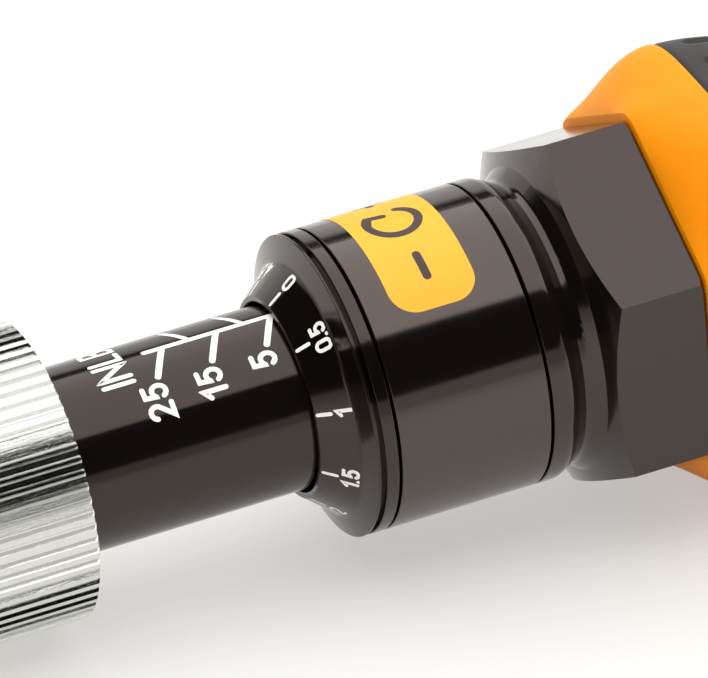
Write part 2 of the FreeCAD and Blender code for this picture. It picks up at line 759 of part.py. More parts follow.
def make_handle_grip(core_body):
    """Soft sleeve moulded over the core."""
    wires = []
    count = 14
    for index in range(count + 1):
        station = nose_length + (handle_length - nose_length) * index / count
        radius = grip_radius(station)
        depth = grip_lobes(station)
        wires.append(section_wire(handle_front + station,
                                  lambda angle, r=radius, d=depth: lobed(r, angle, d)))
    skin = Part.makeLoft(wires, True, False)
    return skin.cut(core_body).cut(cylinder(grip_front - 1, handle_rear + 1, access_radius + 0.5))


def make_end_cap():
    """Snap-in cap over the calibration bore."""
    plug_radius = access_radius - locating_gap
    rear = handle_rear + end_cap_length
    rim = tail_radius - 2 * edge_break
    return turned([
        (handle_rear - end_cap_plug, plug_radius - end_cap_wall),
        (handle_rear - end_cap_plug, plug_radius, 0.4), (handle_rear, plug_radius),
        (handle_rear, rim, 0.3), (rear - 4.0, rim - 1.0, 3.0), (rear, rim - 5.5, 3.0), (rear, 0),
        (rear - end_cap_wall, 0), (rear - end_cap_wall, plug_radius - end_cap_wall)])


# ---- assembly -----------------------------------------------------------------------------------
def build():
    """Make every piece and write one STEP file for each."""
    core_body = make_core_body()
    pieces = {
        "spindle": make_spindle(),
        "bit_clip": make_bit_clip(),
        "bit_magnet": make_bit_magnet(),
        "front_bush": make_front_bush(),
        "front_cap": make_front_cap(),
        "grip_ring": make_grip_ring(),
        "thrust_washer": make_thrust_washer(),
        "clutch_balls": make_clutch_balls(),
        "clutch_plate": make_clutch_plate(),
        "guide_pins": make_guide_pins(),
        "flange_screws": make_flange_screws(),
        "barrel": make_barrel(),
        "stop_ring": make_stop_ring(),
        "torque_spring": make_torque_spring(),
        "spring_seat": make_spring_seat(),
        "thrust_ball": make_thrust_ball(),
        "calibration_screw": make_calibration_screw(),
        "calibration_nut": make_calibration_nut(),
        "scale_ring": make_scale_ring(),
        "lock_sleeve": make_lock_sleeve(),
        "lock_pin": make_lock_pin(),
        "lock_spring": make_lock_spring(),
        "sleeve_seal": make_sleeve_seal(),
        "adjuster_body": make_adjuster_body(),
        "handle_pins": handle_pin_pair(),
        "handle_core": make_handle_core(core_body),
        "handle_grip": make_handle_grip(core_body),
        "end_cap": make_end_cap(),
    }
    os.makedirs("parts", exist_ok=True)
    for name, shape in pieces.items():
        shape.exportStep("parts/" + name + ".step")
        print(name, "solids", len(shape.Solids), "volume", round(shape.Volume, 2), "valid", shape.isValid())


build()
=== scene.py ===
"""Looks for a torque screwdriver with a micrometer scale.

Every length below is in metres in the tool's own frame: +X runs from the bit socket to the
end cap, +Z is the side with the index line.  Angles about the axis go from +Y towards +Z.
"""

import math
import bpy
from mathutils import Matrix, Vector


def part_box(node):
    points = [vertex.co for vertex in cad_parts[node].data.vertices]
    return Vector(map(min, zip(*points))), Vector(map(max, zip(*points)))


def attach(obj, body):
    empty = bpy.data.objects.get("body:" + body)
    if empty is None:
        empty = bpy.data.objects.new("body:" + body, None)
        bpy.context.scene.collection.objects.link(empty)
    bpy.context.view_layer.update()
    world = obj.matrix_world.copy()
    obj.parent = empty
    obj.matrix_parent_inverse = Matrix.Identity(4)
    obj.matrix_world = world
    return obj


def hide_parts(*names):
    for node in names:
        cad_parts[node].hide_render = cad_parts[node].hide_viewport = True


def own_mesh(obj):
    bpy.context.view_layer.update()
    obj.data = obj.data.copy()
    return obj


bl_info = {
    "name": "Torque Screwdriver Finishes",
    "version": (1, 0, 0),
    "blender": (4, 5, 0),
    "location": "3D View > Sidebar > Screwdriver",
    "description": "Materials, printed scales, moulded grip and studio for a torque screwdriver",
    "category": "Object",
}

import bmesh
import bpy
from mathutils import Matrix, Vector

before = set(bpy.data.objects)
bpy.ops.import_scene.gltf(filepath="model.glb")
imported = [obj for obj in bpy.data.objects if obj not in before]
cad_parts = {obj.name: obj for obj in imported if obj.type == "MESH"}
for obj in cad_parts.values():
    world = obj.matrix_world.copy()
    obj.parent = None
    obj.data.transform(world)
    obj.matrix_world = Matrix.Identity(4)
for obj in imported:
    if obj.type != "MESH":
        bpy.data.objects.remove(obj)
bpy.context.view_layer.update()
MM = 0.001


def linear(code):
    """Linear RGBA from an sRGB hex code."""
    channels = []
    for start in (1, 3, 5):
        value = int(code[start:start + 2], 16) / 255
        channels.append(value / 12.92 if value <= 0.04045 else ((value + 0.055) / 1.055) ** 2.4)
    return (*channels, 1.0)


# ---- settings ---------------------------------------------------------------------------------
def colour_property(name, description, code):
    """A colour setting whose default is an sRGB hex code."""
    return bpy.props.FloatVectorProperty(
        name=name, description=description, subtype="COLOR", size=4, min=0, max=1,
        default=linear(code))


def length_property(name, description, millimetres):
    """A length setting with its default in millimetres."""
    return bpy.props.FloatProperty(
        name=name, description=description, unit="LENGTH", subtype="DISTANCE", precision=5,
        default=millimetres * MM)


class FinishSettings(bpy.types.PropertyGroup):
    """Colours of the finishes."""
    anodising: colour_property("Anodising", "Dye under the clear anodised layer", "#100C0B")
    chrome: colour_property("Chrome", "Satin chrome of the grip ring", "#D9D9D5")
    steel: colour_property("Steel", "Bare turned steel", "#A3A3A6")
    plastic: colour_property("Handle plastic", "Coloured nose of the handle", "#FF9300")
    rubber: colour_property("Grip rubber", "Soft grip and end cap", "#2B2725")
    ink: colour_property("Scale ink", "Printed lines and numbers", "#F8F6EF")
    panel: colour_property("Panel ink", "Printed panel on the lock sleeve", "#F5B000")


class MarkingSettings(bpy.types.PropertyGroup):
    """Printed scales."""
    barrel_radius: length_property("Barrel radius", "Surface that carries the main scale", 9.0)
    barrel_line: length_property("Main line width", "Lines of the main scale", 0.62)
    barrel_text: length_property("Main text height", "Numbers of the main scale", 2.75)
    barrel_pen: length_property("Main pen width", "Stroke of the main scale's numbers", 0.5)
    unit_text: length_property("Unit text height", "Unit beside the main scale", 3.5)
    unit_pen: length_property("Unit pen width", "Stroke of the unit text", 0.5)
    cone_line: length_property("Cone line width", "Lines of the rotating scale", 0.42)
    cone_text: length_property("Cone text height", "Numbers of the rotating scale", 1.85)
    cone_pen: length_property("Cone pen width", "Stroke of the rotating scale's numbers", 0.36)
    ink_lift: length_property("Ink thickness", "How far the ink stands off the metal", 0.02)


class PanelSettings(bpy.types.PropertyGroup):
    """Printed panel on the lock sleeve."""
    radius: length_property("Sleeve radius", "Surface that carries the panel", 14.8)
    front: length_property("Front edge", "Station of the panel's front edge", 69.1)
    rear: length_property("Rear edge", "Station of the panel's rear edge", 77.8)
    corner: length_property("Corner radius", "Rounding of the panel's corners", 2.6)
    middle: bpy.props.FloatProperty(
        name="Middle", description="Angle of the panel's middle", subtype="ANGLE",
        default=math.radians(86))
    half_span: bpy.props.FloatProperty(
        name="Half span", description="Half of the angle the panel covers", subtype="ANGLE",
        default=math.radians(45))


class GripSettings(bpy.types.PropertyGroup):
    """Moulded grip."""
    flutes: bpy.props.IntProperty(
        name="Flutes", description="Grooves along the grip", min=6, max=48, default=24)
    flute_width: length_property("Flute width", "Mouth of one groove", 2.0)
    flute_depth: length_property("Flute depth", "Depth of one groove", 0.9)
    flute_start: length_property("Flute start", "Grip's front edge to the grooves", 2.4)
    flute_end: length_property("Flute end", "Grooves' rear end to the end of the grip", 9.0)


class StudioSettings(bpy.types.PropertyGroup):
    """Floor, lamps and camera."""
    lens: bpy.props.FloatProperty(
        name="Lens", description="Focal length", unit="CAMERA", default=711.9)
    distance: length_property("Camera distance", "Camera to the tool", 1316.0)
    softbox: bpy.props.FloatProperty(
        name="Softbox", description="Brightness of the overhead softbox", min=0, default=1.85)
    room: bpy.props.FloatProperty(
        name="Room", description="Brightness of the room's walls", min=0, default=0.6)
    paper: colour_property("Paper", "Floor and backdrop", "#F6F5F2")


SETTINGS = {"finish": FinishSettings, "marking": MarkingSettings, "panel": PanelSettings,
            "grip": GripSettings, "studio": StudioSettings}


# ---- material helpers -------------------------------------------------------------------------
NOISE = "ShaderNodeTexNoise"
CELLS = "ShaderNodeTexVoronoi"
EVEN = (1, 1, 1)


def add_node(tree, kind, settings=None, links=None):
    """Add one node; settings and links are keyed by input or property name, or input number."""
    node = tree.nodes.new(kind)
    for key, value in (settings or {}).items():
        if isinstance(key, int) or key in node.inputs:
            node.inputs[key].default_value = value
        else:
            setattr(node, key, value)
    for key, socket in (links or {}).items():
        tree.links.new(socket, node.inputs[key])
    return node


def scaled(colour, share):
    """A darker or lighter version of a colour."""
    return (*(min(1.0, channel * share) for channel in colour[:3]), 1.0)


def patterned_finish(name, settings, patterns, tones, relief, rough=None):
    """A material on one shader, marked by patterns that lie in the tool's own frame.

    A pattern is (texture, size in mm, stretch along x, y and z, detail).  tones names a pattern
    with its dark and light colour, rough names one with two roughnesses, and relief lists
    patterns with their depths in mm, the lowest layer first.
    """
    material = bpy.data.materials.new(name)
    material.use_nodes = True
    tree = material.node_tree
    tree.nodes.clear()
    shader = add_node(tree, "ShaderNodeBsdfPrincipled", settings)
    add_node(tree, "ShaderNodeOutputMaterial", {}, {"Surface": shader.outputs["BSDF"]})
    place = add_node(tree, "ShaderNodeTexCoord")
    factors = {}
    for key, (texture, size, stretch, detail) in patterns.items():
        spread = add_node(tree, "ShaderNodeMapping", {"Scale": [1 / value for value in stretch]},
                          {"Vector": place.outputs["Object"]})
        pattern = add_node(tree, texture, {"Scale": 1 / (size * MM), "Detail": detail},
                           {"Vector": spread.outputs["Vector"]})
        factors[key] = pattern.outputs[0]
    if rough:
        key, low, high = rough
        span = add_node(tree, "ShaderNodeMapRange", {"To Min": low, "To Max": high},
                        {"Value": factors[key]})
        tree.links.new(span.outputs["Result"], shader.inputs["Roughness"])
    # The mix node keeps its colours on inputs 6 and 7, and its mixed colour on output 2.
    key, dark, light = tones
    mix = add_node(tree, "ShaderNodeMix", {"data_type": "RGBA", 6: dark, 7: light},
                   {"Factor": factors[key]})
    tree.links.new(mix.outputs[2], shader.inputs["Base Color"])
    under = {}
    for key, depth in relief:
        layer = add_node(tree, "ShaderNodeBump", {"Strength": 1.0, "Distance": depth * MM},
                         {"Height": factors[key], **under})
        under = {"Normal": layer.outputs["Normal"]}
    tree.links.new(under["Normal"], shader.inputs["Normal"])
    return material


def coat(material, *nodes):
    """Give a material to the CAD nodes' slots."""
    for name in nodes:
        for material_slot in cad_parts[name].material_slots:
            material_slot.material = material


# ---- materials --------------------------------------------------------------------------------
def anodised_aluminium(name, base, ring_size, index):
    """Turned aluminium, black anodised: a clear hard skin that mirrors, over fine tool marks."""
    # The sealed oxide's index is 1.6 to 1.8; the dye gives its reflections a brown cast.
    settings = {"Base Color": base, "Metallic": 0.0, "IOR": index,
                "Specular Tint": linear("#FFEAE2")}
    # Tool marks run round the part, so they only change along the axis.  The pores of the
    # anodised skin are drawn at 0.12 mm so that they show.
    patterns = {"marks": (NOISE, ring_size, (1, 60, 60), 3), "pores": (NOISE, 0.12, EVEN, 2),
                "cloud": (NOISE, 4.0, EVEN, 3)}
    return patterned_finish(
        name, settings, patterns, tones=("pores", scaled(base, 0.7), scaled(base, 1.3)),
        relief=(("marks", 0.0012), ("pores", 0.0016)), rough=("cloud", 0.07, 0.15))


def satin_chrome(colour):
    """Knurled steel, chrome plated: bright, with the grain of the knurling roll along it."""
    return patterned_finish(
        "chrome_plated_knurled_steel", {"Base Color": colour, "Metallic": 1.0},
        {"grain": (NOISE, 0.16, (9, 1, 1), 3), "pits": (NOISE, 0.3, EVEN, 2)},
        tones=("pits", scaled(colour, 0.86), scaled(colour, 1.06)),
        relief=(("grain", 0.012), ("pits", 0.01)), rough=("grain", 0.1, 0.26))


def turned_metal(name, colour, low, high, ring_size, depth):
    """Bare turned metal: rings of tool marks, and patches that are more or less worn."""
    return patterned_finish(
        name, {"Base Color": colour, "Metallic": 1.0},
        {"rings": (NOISE, ring_size, (1, 50, 50), 3), "wear": (NOISE, 2.5, EVEN, 4)},
        tones=("wear", scaled(colour, 0.85), scaled(colour, 1.1)),
        relief=(("rings", depth),), rough=("wear", low, high))


def oiled_wire(colour):
    """Spring wire, drawn and oil tempered: dark, with fine die lines."""
    return patterned_finish(
        "oil_tempered_spring_steel", {"Base Color": colour, "Metallic": 1.0},
        {"lines": (NOISE, 0.12, (1, 6, 6), 3), "blotch": (NOISE, 1.6, EVEN, 4)},
        tones=("blotch", scaled(colour, 0.7), scaled(colour, 1.2)),
        relief=(("lines", 0.004),), rough=("blotch", 0.22, 0.42))


def sintered_bronze():
    """Oil-filled bronze bush: warm, dull and full of small pores."""
    return patterned_finish(
        "sintered_bronze", {"Metallic": 1.0}, {"pores": (CELLS, 0.25, EVEN, 0)},
        tones=("pores", linear("#8E6A41"), linear("#C29A63")),
        relief=(("pores", 0.02),), rough=("pores", 0.5, 0.3))


def black_oxide():
    """Screws, hardened and blackened: a thin dark skin that lets some metal through."""
    return patterned_finish(
        "black_oxide_steel", {"Metallic": 0.6}, {"skin": (NOISE, 0.5, EVEN, 4)},
        tones=("skin", linear("#151516"), linear("#38383B")),
        relief=(("skin", 0.004),), rough=("skin", 0.3, 0.5))


def moulded_plastic(colour):
    """Handle nose, injection moulded polypropylene: light scatters in it, with a spark grain."""
    settings = {"Base Color": colour, "IOR": 1.49, "Specular IOR Level": 0.15,
                "Subsurface Weight": 0.35, "Subsurface Radius": (1.0, 0.32, 0.06),
                "Subsurface Scale": 0.004}
    return patterned_finish(
        "moulded_polypropylene", settings,
        {"grain": (NOISE, 0.18, EVEN, 3), "cloud": (NOISE, 7.0, EVEN, 2)},
        tones=("cloud", scaled(colour, 0.93), scaled(colour, 1.04)),
        relief=(("grain", 0.008),), rough=("grain", 0.42, 0.6))


def moulded_rubber(name, colour, grain_size, depth):
    """Thermoplastic rubber from an eroded mould: matt, with dust caught in its grain."""
    settings = {"Base Color": colour, "IOR": 1.5, "Specular IOR Level": 0.45,
                "Sheen Weight": 0.12, "Sheen Roughness": 0.5}
    return patterned_finish(
        name, settings, {"grain": (NOISE, grain_size, EVEN, 4), "dust": (NOISE, 5.0, EVEN, 5)},
        tones=("dust", scaled(colour, 0.75), scaled(colour, 1.35)),
        relief=(("grain", depth),), rough=("grain", 0.5, 0.78))


def printed_ink(name, colour):
    """Screen-printed epoxy ink: flat and opaque, a little uneven where the mesh left it thin."""
    # The mesh of the screen is 0.1 mm, drawn at 0.2 mm so that it shows.
    return patterned_finish(
        name, {"Base Color": colour, "IOR": 1.5}, {"mesh": (NOISE, 0.2, EVEN, 2)},
        tones=("mesh", scaled(colour, 0.94), scaled(colour, 1.03)),
        relief=(("mesh", 0.002),), rough=("mesh", 0.35, 0.55))


def white_card(colour):
    """Uncoated card: matt, with a faint tooth; it runs out into the backdrop away from the tool."""
    material = patterned_finish(
        "matt_white_card", {"Base Color": colour, "Roughness": 0.85, "Specular IOR Level": 0.2},
        {"tooth": (NOISE, 0.4, EVEN, 4)}, tones=("tooth", scaled(colour, 0.985), colour),
        relief=(("tooth", 0.01),))
    tree = material.node_tree
    place = add_node(tree, "ShaderNodeTexCoord")
    away = add_node(tree, "ShaderNodeVectorMath", {"operation": "DISTANCE", 1: (0.1, 0, -0.02)},
                    {0: place.outputs["Object"]})
    fade = add_node(tree, "ShaderNodeMapRange", {
        "From Min": 0.16, "From Max": 0.5, "To Min": 0.5, "interpolation_type": "SMOOTHSTEP"},
        {"Value": away.outputs["Value"]})
    ray = add_node(tree, "ShaderNodeLightPath")
    direct = add_node(tree, "ShaderNodeMath", {"operation": "MAXIMUM"}, {
        0: ray.outputs["Is Camera Ray"], 1: ray.outputs["Is Glossy Ray"]})
    share = add_node(tree, "ShaderNodeMath", {"operation": "MULTIPLY"}, {
        0: fade.outputs["Result"], 1: direct.outputs["Value"]})
    white = add_node(tree, "ShaderNodeEmission", {"Color": colour, "Strength": 1.0})
    output = tree.get_output_node("ALL")
    lit = output.inputs["Surface"].links[0].from_socket
    blend = add_node(tree, "ShaderNodeMixShader", {}, {
        0: share.outputs["Value"], 1: lit, 2: white.outputs["Emission"]})
    tree.links.new(blend.outputs["Shader"], output.inputs["Surface"])
    return material


# ---- print ------------------------------------------------------------------------------------
def arc(centre, size, start, end, steps=14):
    """Points on an ellipse from start to end, in degrees."""
    points = []
    for step in range(steps + 1):
        angle = math.radians(start + (end - start) * step / steps)
        points.append((centre[0] + size[0] * math.cos(angle),
                       centre[1] + size[1] * math.sin(angle)))
    return points


# Pen paths in a cell one unit tall; each entry is (width, paths).
GLYPHS = {
    "0": (0.56, [arc((0.28, 0.72), (0.28, 0.28), 0, 180) + arc((0.28, 0.28), (0.28, 0.28), 180, 360)
                 + [(0.56, 0.72)]]),
    "1": (0.34, [[(0.0, 0.74), (0.3, 1.0), (0.3, 0.0)]]),
    "2": (0.56, [arc((0.27, 0.72), (0.27, 0.28), 165, -28) + [(0.02, 0.0), (0.58, 0.0)]]),
    "3": (0.54, [arc((0.25, 0.75), (0.25, 0.25), 150, -90)
                 + arc((0.25, 0.25), (0.28, 0.27), 90, -150)]),
    "4": (0.6, [[(0.42, 0.0), (0.42, 1.0), (0.0, 0.28), (0.6, 0.28)]]),
    "5": (0.56, [[(0.5, 1.0), (0.08, 1.0), (0.04, 0.52)]
                 + arc((0.27, 0.33), (0.28, 0.31), 142, -150)]),
    ".": (0.0, [[(0.0, 0.0), (0.0, 0.02)]]),
    "I": (0.0, [[(0.0, 0.0), (0.0, 1.0)]]),
    "N": (0.62, [[(0.0, 0.0), (0.0, 1.0), (0.62, 0.0), (0.62, 1.0)]]),
    "L": (0.44, [[(0.0, 1.0), (0.0, 0.0), (0.44, 0.0)]]),
    "B": (0.48, [[(0.0, 0.0), (0.0, 1.0)] + arc((0.24, 0.76), (0.22, 0.24), 90, -90, 10)
                 + [(0.0, 0.52)], [(0.24, 0.52)] + arc((0.24, 0.26), (0.24, 0.26), 90, -90, 10)
                 + [(0.0, 0.0)]]),
}


def resampled(points, step):
    """The polyline with no piece longer than step."""
    dense = [Vector(points[0])]
    for start, end in zip(points, points[1:]):
        start, end = Vector(start), Vector(end)
        count = max(1, math.ceil((end - start).length / step))
        for index in range(1, count + 1):
            point = start.lerp(end, index / count)
            if (point - dense[-1]).length > 1e-6:
                dense.append(point)
    return dense


def pen_stroke(mesh, points, width, place, lift):
    """A flat ribbon with round ends along a polyline in print coordinates."""
    path = resampled(points, 0.22 * MM)
    half = width / 2
    sides = []
    for index, point in enumerate(path):
        before = path[index] - path[index - 1] if index else path[1] - path[0]
        after = path[index + 1] - path[index] if index + 1 < len(path) else before
        before, after = before.normalized(), after.normalized()
        along = before + after
        along = along.normalized() if along.length > 1e-3 else before
        across = Vector((-along.y, along.x))
        reach = half / max(0.45, across.dot(Vector((-before.y, before.x))))
        sides.append((point + across * reach, point - across * reach))
    rows = [[mesh.verts.new(place(side.x, side.y, lift)) for side in pair] for pair in sides]
    for near, far in zip(rows, rows[1:]):
        mesh.faces.new((near[0], near[1], far[1], far[0]))
    for centre, pair, sign in ((path[0], rows[0], -1), (path[-1], rows[-1], 1)):
        out = (path[1] - path[0] if sign < 0 else path[-1] - path[-2]).normalized() * sign
        across = Vector((-out.y, out.x))
        ring = []
        for step in range(1, 8):
            angle = math.pi * step / 8
            spot = centre + across * (half * math.cos(angle)) + out * (half * math.sin(angle))
            ring.append(mesh.verts.new(place(spot.x, spot.y, lift)))
        first, last = (pair[0], pair[1]) if sign > 0 else (pair[1], pair[0])
        mesh.faces.new([first, *ring, last])


def pen_text(mesh, text, height, width, place, lift, align, gap=0.3):
    """Letters along print u, feet at v = 0; align is the share of the text before u = 0."""
    tall = height - width
    total = sum(GLYPHS[letter][0] * tall for letter in text)
    total += (len(text) - 1) * (gap * tall + width * 0.55)
    cursor = -align * total
    for number, letter in enumerate(text):
        advance, paths = GLYPHS[letter]
        for order, path in enumerate(paths):
            spots = [(cursor + u * tall, width / 2 + v * tall) for u, v in path]
            pen_stroke(mesh, spots, width, place, lift + 0.002 * MM * (order + number % 2))
        cursor += advance * tall + gap * tall + width * 0.55


def print_object(name, mesh, material, body):
    """Turn a finished bmesh into an object that rides on a body."""
    data = bpy.data.meshes.new(name)
    bmesh.ops.recalc_face_normals(mesh, faces=mesh.faces)
    mesh.to_mesh(data)
    mesh.free()
    for polygon in data.polygons:
        polygon.use_smooth = True
    data.materials.append(material)
    made = bpy.data.objects.new(name, data)
    bpy.context.scene.collection.objects.link(made)
    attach(made, body)
    return made


def on_axis(station, radius, angle):
    """The point at a station, radius and angle about the tool's axis."""
    return Vector((station, radius * math.cos(angle), radius * math.sin(angle)))


# ---- operators --------------------------------------------------------------------------------
class FinishSteel(bpy.types.Operator):
    """Give the chromed, turned, hardened and drawn metal parts their finishes"""
    bl_idname = "screwdriver.finish_steel"
    bl_label = "Finish Steel Parts"

    def execute(self, context):
        colours = context.scene.finish
        coat(satin_chrome(colours.chrome), "grip_ring")
        coat(turned_metal("nickel_plated_turned_steel", colours.steel, 0.18, 0.32, 0.2, 0.006),
             "spindle", "front_cap")
        coat(turned_metal("hardened_ground_steel", linear("#8D8D91"), 0.12, 0.26, 0.08, 0.003),
             "thrust_washer", "guide_pins", "clutch_plate", "spring_seat", "calibration_nut",
             "handle_pins", "lock_pin")
        coat(turned_metal("polished_bearing_steel", linear("#C9C9CC"), 0.04, 0.1, 0.3, 0.0005),
             "clutch_balls", "thrust_ball")
        coat(turned_metal("nickel_plated_magnet", linear("#C4C0B6"), 0.1, 0.22, 0.4, 0.001),
             "bit_magnet")
        coat(oiled_wire(linear("#6F6E70")), "torque_spring", "lock_spring", "bit_clip", "stop_ring")
        coat(sintered_bronze(), "front_bush")
        coat(black_oxide(), "flange_screws", "calibration_screw")
        return {"FINISHED"}


class MakeSprings(bpy.types.Operator):
    """Copy the springs onto the bodies that carry them; the real springs shorten as the tool is set
    and locked, but the copies keep one length
    """
    bl_idname = "screwdriver.make_springs"
    bl_label = "Make Springs"

    def execute(self, context):
        # Each entry: node, body, joint, axis, fixed end and the share of its length left.
        springs = (
            ("torque_spring", "barrel_frame", "seat_travel", (1, 0, 0), (0.030, 0, 0), 0.7555),
            ("lock_spring", "adjuster", "lock_pin_travel", (0, 0, 1), (0, 0, -0.00995), 0.63))
        for node, body, joint, axis, fixed, keep in springs:
            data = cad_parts[node].data.copy()
            data.materials.clear()
            data.materials.append(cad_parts[node].material_slots[0].material)
            made = bpy.data.objects.new(node + "_wound", data)
            context.scene.collection.objects.link(made)
            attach(made, body)
            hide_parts(node)
            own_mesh(made)
        return {"FINISHED"}


class FinishAnodised(bpy.types.Operator):
    """Give the barrel, scale ring, lock sleeve and adjuster their gloss black anodising"""
    bl_idname = "screwdriver.finish_anodised"
    bl_label = "Finish Anodised Parts"

    def execute(self, context):
        base = context.scene.finish.anodising
        coat(anodised_aluminium("anodised_barrel", base, 0.14, 1.56), "barrel")
        coat(anodised_aluminium("anodised_scale_ring", scaled(base, 0.85), 0.1, 1.6), "scale_ring")
        coat(anodised_aluminium("anodised_sleeve", base, 0.16, 1.82), "lock_sleeve")
        coat(anodised_aluminium("anodised_adjuster", base, 0.2, 1.66), "adjuster_body")
        return {"FINISHED"}


class FinishPlastics(bpy.types.Operator):
    """Give the handle's core, end cap and seal their moulded finishes"""
    bl_idname = "screwdriver.finish_plastics"
    bl_label = "Finish Moulded Parts"

    def execute(self, context):
        colours = context.scene.finish
        coat(moulded_plastic(colours.plastic), "handle_core")
        coat(moulded_rubber("moulded_nylon_end_cap", scaled(colours.rubber, 0.9), 0.35, 0.012),
             "end_cap")
        coat(moulded_rubber("nitrile_seal", scaled(colours.rubber, 0.6), 0.2, 0.004), "sleeve_seal")
        return {"FINISHED"}


# The grip's outline at its guard, waist, palm and tail: mm behind the handle's front face, and
# the radius over the lobes in mm.
GRIP_OUTLINE = ((7.2, 21.9), (30.0, 17.3), (72.0, 20.9), (99.4, 17.6))
GRIP_LOBES = 6
GRIP_HOLLOW = 1.1  # mm between a lobe and the hollow beside it
GRIP_WALL = 2.9 * MM
GRIP_EDGE = 0.9 * MM  # length of the rounding at both ends
GRIP_EDGE_DROP = 0.5 * MM
COLUMNS_PER_FLUTE = 16


def grip_profile(station):
    """Lobe radius and hollow depth of the grip, in mm, at a station behind the handle's front."""
    guard, waist, palm, tail = GRIP_OUTLINE
    if station > palm[0]:
        # Behind the palm the grip falls off ever faster, and the hollows run out.
        share = min(1.0, (station - palm[0]) / (tail[0] - palm[0]))
        return palm[1] + (tail[1] - palm[1]) * share ** 2.2, GRIP_HOLLOW * (1 - share ** 2)
    start, end = (guard, waist) if station <= waist[0] else (waist, palm)
    share = (station - start[0]) / (end[0] - start[0])
    ease = (1 - math.cos(math.pi * share)) / 2
    return start[1] + (end[1] - start[1]) * ease, GRIP_HOLLOW


def grip_stations(length, settings):
    """Places along the grip, close together at its ends and at the ends of the flutes."""
    fine, coarse, near = 0.2 * MM, 1.1 * MM, 3 * MM
    stations = [0.0, 0.2 * MM, 0.5 * MM, 0.9 * MM]
    while stations[-1] < length - 1.2 * MM:
        place = stations[-1]
        near_end = (abs(place - settings.flute_start) < near
                    or abs(place - (length - settings.flute_end)) < near)
        stations.append(place + (fine if near_end else coarse))
    return stations + [length - 0.7 * MM, length - 0.3 * MM, length]


def flute_half_width(place, length, settings):
    """Half the mouth of a flute; its ends are round, so it closes in a half circle there."""
    half_width = settings.flute_width / 2
    inside = min(place - settings.flute_start, length - settings.flute_end - place)
    short = half_width - min(half_width, max(0.0, inside))
    return math.sqrt(half_width ** 2 - short ** 2)


class MakeGrip(bpy.types.Operator):
    """Model the soft grip with its long rounded flutes"""
    bl_idname = "screwdriver.make_grip"
    bl_label = "Make Grip"

    def execute(self, context):
        settings = context.scene.grip
        front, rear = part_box("handle_grip")[0].x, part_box("handle_grip")[1].x
        length = rear - front
        columns = settings.flutes * COLUMNS_PER_FLUTE
        angles = [2 * math.pi * column / columns for column in range(columns)]
        pitch = 2 * math.pi / settings.flutes
        stations = grip_stations(length, settings)
        profile = {place: grip_profile(GRIP_OUTLINE[0][0] + place / MM) for place in stations}
        mesh = bmesh.new()
        rows = []
        for place in stations:
            lobe, hollow = profile[place]
            edge = min(place, length - place)
            round_off = GRIP_EDGE_DROP * max(0.0, 1 - edge / GRIP_EDGE) ** 2
            half = flute_half_width(place, length, settings)
            fullness = half / (settings.flute_width / 2)
            row = []
            for angle in angles:
                ripple = (1 - math.cos(GRIP_LOBES * angle)) / 2
                radius = (lobe - hollow * ripple) * MM - round_off
                off = abs((angle / pitch) % 1 - 0.5) * pitch * radius
                if off < half:
                    share = 1 - (off / half) ** 2
                    radius -= settings.flute_depth * min(1.0, 1.9 * share) ** 0.8 * fullness
                row.append(mesh.verts.new(on_axis(front + place, radius, angle)))
            rows.append(row)
        # The bore follows the outline, with fewer rows than the outside.
        bore = (*reversed(stations[1:-1:6]), 0.0)
        rows += [[mesh.verts.new(on_axis(front + place, profile[place][0] * MM - GRIP_WALL, angle))
                  for angle in angles] for place in bore]
        for first, second in zip(rows, rows[1:] + rows[:1]):
            for column in range(columns):
                following = (column + 1) % columns
                mesh.faces.new((first[column], first[following],
                                second[following], second[column]))
        rubber = moulded_rubber("moulded_grip_rubber", context.scene.finish.rubber, 0.3, 0.03)
        grip = print_object("moulded_grip", mesh, rubber, "adjuster")
        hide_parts("handle_grip")
        return {"FINISHED"}


class PrintBarrelScale(bpy.types.Operator):
    """Print the main scale, its numbers and its unit on the barrel"""
    bl_idname = "screwdriver.print_barrel_scale"
    bl_label = "Print Barrel Scale"

    def execute(self, context):
        settings = context.scene.marking
        radius = settings.barrel_radius
        index = math.radians(88.8)
        mesh = bmesh.new()

        def wrap(station, angle):
            """Print coordinates on the unrolled barrel: u towards the far side, v forwards."""
            return lambda u, v, lift: on_axis(station - v, radius + lift, angle - u / radius)

        flat = wrap(0.0, index)
        lift = settings.ink_lift
        line = settings.barrel_line
        pen_stroke(mesh, [(0, -47.3 * MM), (0, -60.35 * MM)], line, flat, lift)
        lean = 1.9 * MM
        # The numbers' feet stand this far in front of their line, and they end at this turn.
        feet, text_turn = 1.45 * MM, math.radians(28.2)
        reach = math.radians(23.0) * radius
        for value, station in ((25, 49.1), (15, 54.6), (5, 60.15)):
            start = station * MM
            pen_stroke(mesh, [(0, -start), (-reach, lean - start)], line, flat, lift + 0.002 * MM)
            text_at = wrap(start - feet, index + text_turn)
            pen_text(mesh, str(value), settings.barrel_text, settings.barrel_pen, text_at, lift,
                     align=1.0, gap=0.22)
        for station in (51.85, 57.35):
            start = station * MM
            pen_stroke(mesh, [(0, -start), (reach * 0.93, lean * 0.88 - start)], line * 0.85, flat,
                       lift + 0.002 * MM)
        unit_at = wrap(45.15 * MM, math.radians(109.4))
        pen_text(mesh, "INLB", settings.unit_text, settings.unit_pen, unit_at, lift,
                 align=0.0, gap=0.17)
        ink = printed_ink("screen_printed_scale", context.scene.finish.ink)
        print_object("barrel_scale", mesh, ink, "barrel_frame")
        return {"FINISHED"}


